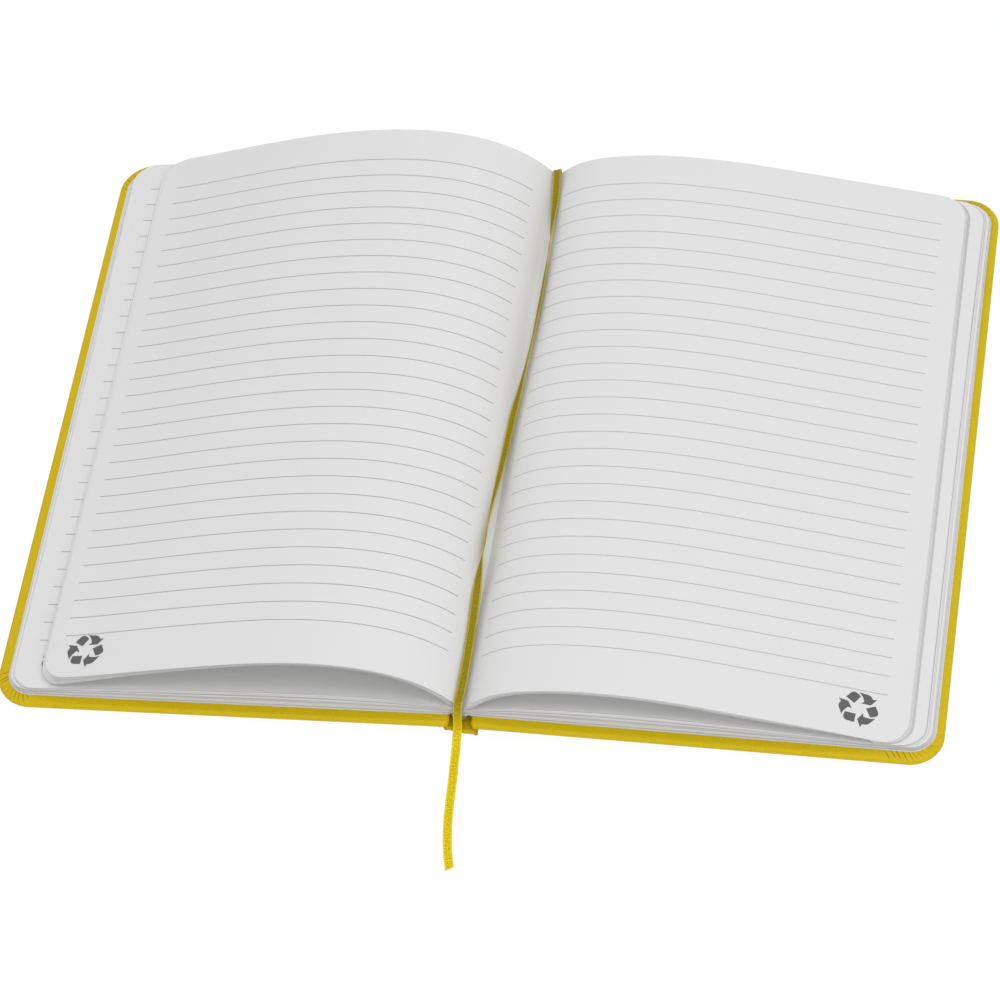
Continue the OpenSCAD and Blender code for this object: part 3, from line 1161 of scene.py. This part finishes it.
@dataclass
class Spine:
    """The spine's leatherette, the two hinges beside it and the endpapers' folds over the hinges."""

    leather: bpy.types.Material
    endpaper: bpy.types.Material
    end_r: float = 0.6

    def draw_tail(self, piece: bpy.types.Object) -> None:
        """Draws the tail end of a spine piece in, on a slant, as the spine sits between the covers."""
        points = points_of(piece)
        share = np.clip((-points[:, 1] - 80) / (SPINE_H / 2 - 80), 0, 1) * (1 - smooth_step(1.8, 4.2, points[:, 2]))
        points[:, 1] += share * (0.9 - 0.13 * points[:, 0] + 0.02 * points[:, 0] ** 2)
        put_points(piece, points)

    def card(self) -> None:
        """Makes the card strip inside the spine."""
        sides = (SPINE_W - 2 * LEATHER_T - 0.04, SPINE_H - 2 * LEATHER_T - 0.5, SPINE_CARD_T - 0.04)
        card = box("spine_greyboard", sides, (0, 0, LEATHER_T + SPINE_CARD_T / 2))
        bpy.ops.object.mode_set(mode="EDIT")
        bpy.ops.mesh.select_all(action="SELECT")
        bpy.ops.mesh.bevel(offset=0.1 * MM, segments=2, affect="EDGES")
        bpy.ops.object.mode_set(mode="OBJECT")
        self.draw_tail(card)
        card.data.materials.append(Greyboard(name="spine_greyboard").material())
        smooth(card, 40)
        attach(card, "block")
        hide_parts("spine_card")
        LOG.info("%s: %d faces", card.name, len(card.data.polygons))

    def lining(self) -> None:
        """Makes the gauze glued on the block's back, which follows the leaves down over the spine."""
        across = np.linspace(-2.5, 2.5, 21)
        up = under_height(np.zeros(21)) - 1.5 * np.exp(-((across / 2.4) ** 2)) - 0.16
        strip = bent_strip("spine_gauze", list(zip(across + BLOCK_SHIFT, up)), PAGE_H - 0.4, 24)
        thicken(strip, 0.2, 0)
        close_up(strip)
        strip.data.materials.append(BindingGauze().material())
        smooth(strip, 50)
        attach(strip, "block")
        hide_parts("spine_lining")
        LOG.info("%s: %d faces", strip.name, len(strip.data.polygons))

    def strap(self) -> None:
        """Makes the leatherette round the spine's card: under it, round both ends and turned in over them."""
        high = 2 * LEATHER_T + SPINE_CARD_T
        strap = box("spine_leather", (SPINE_W, SPINE_H, high), (0, 0, high / 2))
        bpy.ops.object.mode_set(mode="EDIT")
        choose(strap, "EDGE", lambda e: abs(e.verts[0].co.x - e.verts[1].co.x) > 1e-4)
        bpy.ops.mesh.bevel(offset=self.end_r * MM, segments=5, affect="EDGES")
        choose(
            strap,
            "EDGE",
            lambda e: abs(e.verts[0].co.y - e.verts[1].co.y) > 0.1 and e.verts[0].co.z < 0.5 * high * MM,
        )
        bpy.ops.mesh.bevel(offset=0.5 * MM, segments=4, affect="EDGES")
        for end in (-1, 1):
            bpy.ops.mesh.select_all(action="SELECT")
            bpy.ops.mesh.bisect(plane_co=(0, end * (SPINE_H / 2 - SPINE_TURN_IN) * MM, 0), plane_no=(0, 1, 0))
        for across in (-3, -1.5, 0, 1.5, 3):
            bpy.ops.mesh.select_all(action="SELECT")
            bpy.ops.mesh.bisect(plane_co=(across * MM, 0, 0), plane_no=(1, 0, 0))
        inner = (SPINE_H / 2 - SPINE_TURN_IN) * MM
        choose(
            strap,
            "FACE",
            lambda f: (f.normal.z > 0.9 and abs(f.calc_center_median().y) < inner) or abs(f.normal.x) > 0.99,
        )
        bpy.ops.mesh.delete(type="FACE")
        bpy.ops.object.mode_set(mode="OBJECT")
        thicken(strap, LEATHER_T, -1)
        close_up(strap)
        self.draw_tail(strap)
        strap.data.materials.append(self.leather)
        smooth(strap, 40)
        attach(strap, "block")
        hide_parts("spine_leatherette")
        LOG.info("%s: %d faces", strap.name, len(strap.data.polygons))

    def hinge(self, side: Side) -> None:
        """Makes the loose leatherette of one hinge: a flattened fold from the board's inner edge to the spine's edge.

        Args:
            side: the half that the hinge belongs to.
        """
        section = (
            (4.0, 0.05), (4.6, 0.02), (4.95, 0.2), (5.02, 0.7), (4.96, 1.6), (4.98, 2.5), (5.2, 3.3), (5.75, 3.95),
            (5.2, 4.2), (4.2, 4.3), (3.75, 4.0), (3.95, 3.2), (4.35, 2.4), (4.5, 1.6), (4.45, 0.8), (4.2, 0.35),
        )  # fmt: skip
        run = [(side.value * x, z) for x, z in section]
        fold = bent_strip(f"{side.word}_hinge_leather", run, SPINE_H + 0.2, 60)
        self.close_ends(fold)
        self.draw_tail(fold)
        fold.data.materials.append(self.leather)
        smooth(fold, 50)
        side.cover
        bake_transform(fold)
        LOG.info("%s: %d faces", fold.name, len(fold.data.polygons))

    def close_ends(self, fold: bpy.types.Object) -> None:
        """Joins the strip's two long edges and fills its ends, which are sunk in a little."""
        only(fold)
        bpy.ops.object.mode_set(mode="EDIT")
        choose(fold, "EDGE", lambda e: e.is_boundary and abs(e.verts[0].co.y - e.verts[1].co.y) > 1e-6)
        bpy.ops.mesh.bridge_edge_loops()
        for end in (-1, 1):
            choose(fold, "EDGE", lambda e, end=end: e.is_boundary and e.verts[0].co.y * end > 0)
            bpy.ops.mesh.edge_face_add()
        bpy.ops.mesh.select_all(action="SELECT")
        bpy.ops.mesh.normals_make_consistent(inside=False)
        choose(fold, "FACE", lambda f: abs(f.normal.y) > 0.99)
        bpy.ops.mesh.inset(thickness=0.17 * MM, depth=-0.6 * MM)
        bpy.ops.object.mode_set(mode="OBJECT")
        close_up(fold)

    def paper_fold(self, side: Side) -> None:
        """Makes the endpaper's fold over one hinge, from the pasted half down into the gap and up to the block.

        Args:
            side: the half that the fold belongs to.
        """
        paths = {
            Side.FRONT: [
                (4.4, 6.66), (3.6, 6.72), (3.05, 6.55), (2.7, 5.9), (2.5, 5.1), (2.25, 4.2), (2.0, 3.5), (1.75, 3.1),
                (1.5, 3.4), (1.3, 4.1), (1.15, 4.8), (1.05, 5.5),
            ],
            Side.BACK: [
                (5.0, 6.6), (4.2, 6.7), (3.6, 6.6), (3.0, 6.2), (2.3, 5.65), (1.7, 5.0), (1.3, 4.2), (1.0, 3.5),
                (0.8, 3.2), (0.6, 3.5), (0.45, 4.4), (0.4, 5.3),
            ],
        }  # fmt: skip
        run = [(side.value * x, z) for x, z in paths[side]]
        fold = bent_strip(f"{side.word}_endpaper_fold", run, 1.0, 40)
        # The pasted half is a little longer than the half that runs down into the gap
        points = points_of(fold)
        pasted = smooth_step(2.4, 3.4, np.abs(points[:, 0]))
        points[:, 1] *= PAGE_H - 1.2 + (PASTEDOWN_H - PAGE_H + 1.2) * pasted
        put_points(fold, points)
        thicken(fold, 0.15, 0)
        close_up(fold)
        fold.data.materials.append(self.endpaper)
        smooth(fold, 50)
        side.cover
        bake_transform(fold)
        LOG.info("%s: %d faces", fold.name, len(fold.data.polygons))

    def build(self) -> None:
        """Builds the spine's leatherette, card and lining, and both hinges."""
        self.strap()
        self.card()
        self.lining()
        for side in Side:
            self.hinge(side)
            self.paper_fold(side)


@dataclass
class Marker:
    """The ribbon marker: a flat satin band from the block's head, along the gutter and over the tail.

    The width is the construction's, which the cord is declared with. The band is woven a little narrower.
    """

    width: float = 2.9
    woven_width: float = 2.6
    ground_t: float = 0.2
    selvedge_t: float = 0.34
    selvedge_w: float = 0.36
    ring_mm: float = 0.3

    # The route of the ribbon's middle line and the roll of its flat side, from the head's glued end to the free end
    route: tuple[tuple[float, float, float, float], ...] = (
        (0, 101.8, 7.2, 0), (0, 102.2, 8.9, 0), (0.1, 102.1, 10.8, 10), (0.3, 100.4, 12.1, 20),
        (0.8, 96, 12.3, 20), (1.2, 91, 12.2, 20), (1.5, 86, 12.3, 30), (1.8, 80, 12.6, 55),
        (2.1, 74, 12.8, 75), (2.2, 68, 12.8, 82), (2.4, 60, 12.8, 70), (2.5, 52, 12.8, 62),
        (2.4, 43, 12.8, 62), (2.1, 34, 12.6, 68), (1.6, 24, 12.4, 66), (1, 14, 12.2, 48),
        (0.3, 4, 12, 26), (-0.1, -8, 12, 28), (-0.6, -19, 12, 42), (-1.1, -29, 12.1, 62),
        (-1.3, -39, 12.3, 80), (-1.3, -48, 12.6, 80), (-1.2, -57, 12.7, 30), (-0.9, -65, 12.5, -4),
        (-0.5, -77, 12.2, 0), (-0.4, -89, 12.1, -10), (-0.5, -97, 12, -10), (-0.8, -101.2, 11.8, -6),
        (-1, -102.7, 9.2, 0), (-1.2, -103.2, 5.9, 0), (-1.3, -104, 3.5, 0), (-1.3, -105.6, 2.5, 0),
        (-1.3, -107.6, 1.7, 0), (-1.2, -110, 0.8, 0), (-1.1, -113, 0.4, 0), (-0.7, -120, 0.3, 0),
        (-0.2, -130, 0.3, 0), (0.4, -137, 0.3, 0), (1.5, -144, 0.3, 0), (2.9, -149.8, 0.3, 0),
    )  # fmt: skip

    def smooth_route(self) -> np.ndarray:
        """Runs one smooth curve through the route's points, a ring's length apart.

        Returns:
            Rows of x, y, z and roll.
        """
        knots = np.array(self.route, float)
        knots = np.vstack([2 * knots[0] - knots[1], knots, 2 * knots[-1] - knots[-2]])
        rows = []
        for a, b, c, d in zip(knots, knots[1:], knots[2:], knots[3:]):
            steps = max(2, round(float(np.linalg.norm(c[:3] - b[:3])) / self.ring_mm))
            for t in np.arange(steps) / steps:
                rows.append(
                    0.5 * (2 * b + (c - a) * t + (2 * a - 5 * b + 4 * c - d) * t**2 + (3 * b - a - 3 * c + d) * t**3)
                )
        rows.append(knots[-2])
        return np.array(rows)

    def profile(self) -> list[tuple[float, float]]:
        """The ribbon's section: across it, and half its thickness there."""
        half, ground, edge = self.woven_width / 2, self.ground_t / 2, self.selvedge_t / 2
        inner = half - self.selvedge_w
        return [
            (-half, 0.3 * edge), (-half + 0.08, edge), (-inner - 0.08, edge), (-inner + 0.05, ground), (0, ground),
            (inner - 0.05, ground), (inner + 0.08, edge), (half - 0.08, edge), (half, 0.3 * edge),
        ]  # fmt: skip

    def build(self, satin: bpy.types.Material) -> None:
        """Args:
            satin: the ribbon's finish.
        """
        rows = self.smooth_route()
        line = rows[:, :3] + np.array([BLOCK_SHIFT, 0, 0])
        ahead = np.gradient(line, axis=0)
        ahead /= np.linalg.norm(ahead, axis=1)[:, None]
        up = np.cross(ahead, [-1.0, 0, 0])
        up /= np.linalg.norm(up, axis=1)[:, None]
        side = np.cross(up, ahead)
        roll = np.radians(rows[:, 3])[:, None]
        across = side * np.cos(roll) + up * np.sin(roll)
        through = np.cross(ahead, across)
        run = np.concatenate([[0], np.cumsum(np.linalg.norm(np.diff(line, axis=0), axis=1))])
        section = self.profile()
        ring = [(u, h) for u, h in section] + [(u, -h) for u, h in reversed(section)]
        # The free end is cut on a slight slant
        slant = smooth_step(run[-1] - 4, run[-1], run)[:, None] * 0.35
        points = np.stack([line + across * u + through * h + ahead * slant * u for u, h in ring], 1)
        count, size = len(rows), len(ring)
        faces = [
            (i * size + k, (i + 1) * size + k, (i + 1) * size + (k + 1) % size, i * size + (k + 1) % size)
            for i in range(count - 1)
            for k in range(size)
        ]
        faces += [tuple(range(size)), tuple((count - 1) * size + k for k in reversed(range(size)))]
        mesh = bpy.data.meshes.new("marker_ribbon")
        mesh.from_pydata((points.reshape(-1, 3) * MM).tolist(), [], faces)
        uv = mesh.uv_layers.new(name="ribbon")
        for loop in mesh.loops:
            i, k = divmod(loop.vertex_index, size)
            uv.data[loop.index].uv = (ring[k][0] / self.woven_width + 0.5, run[i] * MM)
        band = bpy.data.objects.new("marker_ribbon", mesh)
        bpy.context.scene.collection.objects.link(band)
        close_up(band)
        mesh.materials.append(satin)
        smooth(band, 50)
        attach(band, "block")
        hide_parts("ribbon")
        LOG.info("%s: %.1f mm long, %d faces", band.name, run[-1], len(mesh.polygons))


def white_to(tree: bpy.types.NodeTree) -> Socket:
    """Says whether a ray comes from the camera, or from it by way of a mirror or of glass."""
    path = add(tree, "ShaderNodeLightPath")
    seen = path.outputs["Is Camera Ray"]
    for ray in ("Is Glossy Ray", "Is Transmission Ray"):
        seen = sum_of(tree, "MAXIMUM", seen, path.outputs[ray])
    return seen


@dataclass
class Studio:
    """The camera, lamps, floor and background."""

    eye_mm: tuple[float, float, float] = (226.92, -852.36, 1112.30)
    yaw: float = -15.284
    pitch: float = 52.168
    roll: float = 8.902
    focal_px: float = 4727.5
    image_px: int = 1000
    sensor_mm: float = 36.0
    floor_glow: float = 0.93

    def camera(self) -> None:
        """Puts the camera at the photograph's place and makes it the scene's camera."""
        yaw, pitch, roll = (math.radians(a) for a in (self.yaw, self.pitch, self.roll))
        ahead = Vector((math.sin(yaw) * math.cos(pitch), math.cos(yaw) * math.cos(pitch), -math.sin(pitch)))
        level = Vector((math.cos(yaw), -math.sin(yaw), 0))
        down = ahead.cross(level)
        right = math.cos(roll) * level + math.sin(roll) * down
        below = -math.sin(roll) * level + math.cos(roll) * down
        data = bpy.data.cameras.new("camera")
        data.sensor_width = self.sensor_mm
        data.lens = self.focal_px * self.sensor_mm / self.image_px
        data.clip_start, data.clip_end = 0.05, 20
        camera = bpy.data.objects.new("camera", data)
        turn = Matrix((right, -below, -ahead)).transposed().to_4x4()
        camera.matrix_world = Matrix.Translation(Vector(self.eye_mm) * MM) @ turn
        bpy.context.scene.collection.objects.link(camera)
        bpy.context.scene.camera = camera

    def lamp(self, name: str, place: tuple[float, float, float], size: float, power: float) -> None:
        """Adds one soft square lamp that points at the notebook.

        Args:
            name: the lamp's name.
            place: where it hangs, in metres.
            size: the length of its side, in metres.
            power: its power, in watts.
        """
        data = bpy.data.lights.new(name, "AREA")
        data.shape = "SQUARE"
        data.size = size
        data.energy = power
        lamp = bpy.data.objects.new(name, data)
        lamp.location = place
        lamp.rotation_euler = (-Vector(place)).to_track_quat("-Z", "Y").to_euler()
        bpy.context.scene.collection.objects.link(lamp)

    def world(self) -> None:
        """Lights the scene evenly, and shows the camera a white background."""
        world = bpy.data.worlds.new("studio")
        bpy.context.scene.world = world
        world.use_nodes = True
        tree = world.node_tree
        tree.nodes.clear()
        fill = add(tree, "ShaderNodeBackground", {"Color": (1, 1, 1, 1), "Strength": 0.62})
        white = add(tree, "ShaderNodeBackground", {"Color": (1, 1, 1, 1), "Strength": 1.0})
        mixed = add(tree, "ShaderNodeMixShader", {0: white_to(tree), 1: fill.outputs[0], 2: white.outputs[0]})
        add(tree, "ShaderNodeOutputWorld", {"Surface": mixed.outputs[0]})

    def floor(self) -> None:
        """Lays a pale floor that the camera sees as white, with the notebook's soft shadow on it."""
        nothing_selected()
        bpy.ops.mesh.primitive_plane_add(size=6, location=(0, 0, -0.0002))
        floor = bpy.context.object
        floor.name = "floor"
        place_in_mesh(floor)
        material, tree, shader = start_material("white_studio_floor")
        shader.inputs["Base Color"].default_value = linear("#F2F2F2")
        shader.inputs["Roughness"].default_value = 0.9
        glow = add(tree, "ShaderNodeEmission", {"Color": (1, 1, 1, 1), "Strength": 1.03})
        share = sum_of(tree, "MULTIPLY", white_to(tree), self.floor_glow)
        mixed = add(tree, "ShaderNodeMixShader", {0: share, 1: shader.outputs[0], 2: glow.outputs[0]})
        output = next(node for node in tree.nodes if node.type == "OUTPUT_MATERIAL")
        tree.links.new(mixed.outputs[0], output.inputs["Surface"])
        floor.data.materials.append(material)

    def build(self) -> None:
        """Sets up the camera, the lamps, the world and the floor."""
        self.camera()
        self.lamp("key", (0.3, 0.1, 1.5), 1.2, 9)
        self.lamp("front", (0.3, -1.5, 0.8), 1.2, 7)
        self.world()
        self.floor()
        bpy.context.scene.view_settings.view_transform = "Standard"


SAG_PLACES = (0, 10, 22, 34, 46, 60, 75, 90, 104, 114, 120, 128)

FRONT_LEAVES = LeafHalf(
    side=Side.FRONT,
    pile_end=(124.1, 7.7),
    top_rise=(20, 29.6),
    top_fall=(-60, 18),
    landing=11.9,
    under_rise=(17.7, 26.3),
    under_fall=(-58, 19.2),
    lower=(
        Pile("lower_leaves_a", (0.0, 0.3), (135.3, 135.6), 4, corner_r=7.0, skew=0.2),
        Pile("lower_leaves_b", (0.315, 0.62), (135.5, 135.2), 4, corner_r=7.1, skew=0.3),
        Pile("lower_leaves_c", (0.645, 0.9), (134.6, 134.3), 3, skew=0.9),
        Pile("lower_ruled_leaf", (0.94, 1.0), (134.2, 134.1), 1, ruled=True, skew=1.0),
    ),
    arched=(
        Pile("arched_leaves", (0.0, 0.59), (125.6, 125.1), 7, skew=0.3),
        Pile("arched_leaves_upper", (0.63, 0.89), (124.6, 124.4), 2, skew=0.2),
        Pile("arched_ruled_leaf", (0.945, 1.0), (124.1, 124.1), 1, ruled=True),
    ),
    arch_sag=Sag(
        places=SAG_PLACES,
        head=(0, 0, 0.3, 0.75, 1.05, 1.2, 1.0, 0.3, -0.5, -0.95, -0.85, -0.3),
        tail=(0, -0.05, -0.15, 0.0, 0.2, 0.25, 0.15, 0.4, 0.75, 1.3, 1.85, 2.4),
        tail_power=1.5,
    ),
    stack_sag=Sag(places=SAG_PLACES, head=(0,) * 12, tail=(0,) * 12),
    ruled=(5.6, 119.6),
    lower_ruled=(6.0, 128.6),
    first_line=89.65,
    lower_first_line=91.1,
    mark_at=(-111.3, -91.4),
    lower_mark_at=(-119.8, -92.3),
    arch_shift_y=0.5,
    corner_lift=0.5,
)

BACK_LEAVES = LeafHalf(
    side=Side.BACK,
    pile_end=(127.4, 6.6),
    top_rise=(15, 22.1),
    top_fall=(-69.4, 14),
    landing=16.4,
    under_rise=(13.7, 18.4),
    under_fall=(-61, 13.6),
    lower=(
        Pile("lower_leaves_a", (0.0, 0.3), (134.8, 134.6), 4, corner_r=7.0, skew=0.6),
        Pile("lower_leaves_b", (0.315, 0.6), (134.5, 134.0), 4, corner_r=7.0, skew=0.7),
        Pile("lower_leaves_c", (0.62, 0.93), (133.4, 132.3), 4, skew=0.7),
        Pile("lower_ruled_leaf", (0.95, 1.0), (132.1, 132.1), 1, ruled=True, skew=0.7),
    ),
    arched=(
        Pile("arched_leaves", (0.0, 0.88), (129.0, 127.6), 5),
        Pile("arched_ruled_leaf", (0.925, 1.0), (127.5, 127.4), 1, ruled=True),
    ),
    arch_sag=Sag(
        places=SAG_PLACES,
        head=(0, -0.46, -0.9, -0.55, -0.5, -0.42, -0.6, -0.6, -0.4, -0.25, -0.15, 0),
        tail=(0, 0.1, 0.0, 0.05, 0.15, 0.05, -0.5, -1.0, -1.3, -1.75, -1.8, -0.75),
    ),
    stack_sag=Sag(
        places=SAG_PLACES,
        head=(0,) * 12,
        tail=(0, 0, 0, 0, 0, -0.1, -0.3, -0.6, -0.85, -1.0, -1.0, -0.6),
    ),
    ruled=(3.9, 120.6),
    lower_ruled=(6.0, 121.0),
    first_line=90.0,
    lower_first_line=90.6,
    mark_at=(113.7, -91.5),
    ruling="#B2B2B2",
)


def main() -> None:
    """Builds the notebook and its studio in order."""
    logging.basicConfig(level=logging.INFO, format="%(message)s")
    Studio().build()
    Marker().build(SatinRibbon().material())
    endpaper = Endpaper().material()
    Cover(
        Side.FRONT, endpaper, start=-0.6, reach=COVER_W + 0.4, corner_r=11.0, head_in=1.1, paper_skew=0.9
    ).build()
    Cover(
        Side.BACK, endpaper, paste_reach=132.5, fly_reach=131.7, pleats_mm=(-3.0, 14.5), pleat_slant=0.6
    ).build()
    Spine(Leatherette().material(), endpaper).build()
    for half in (FRONT_LEAVES, BACK_LEAVES):
        half.build()


if __name__ == "__main__":
    main()
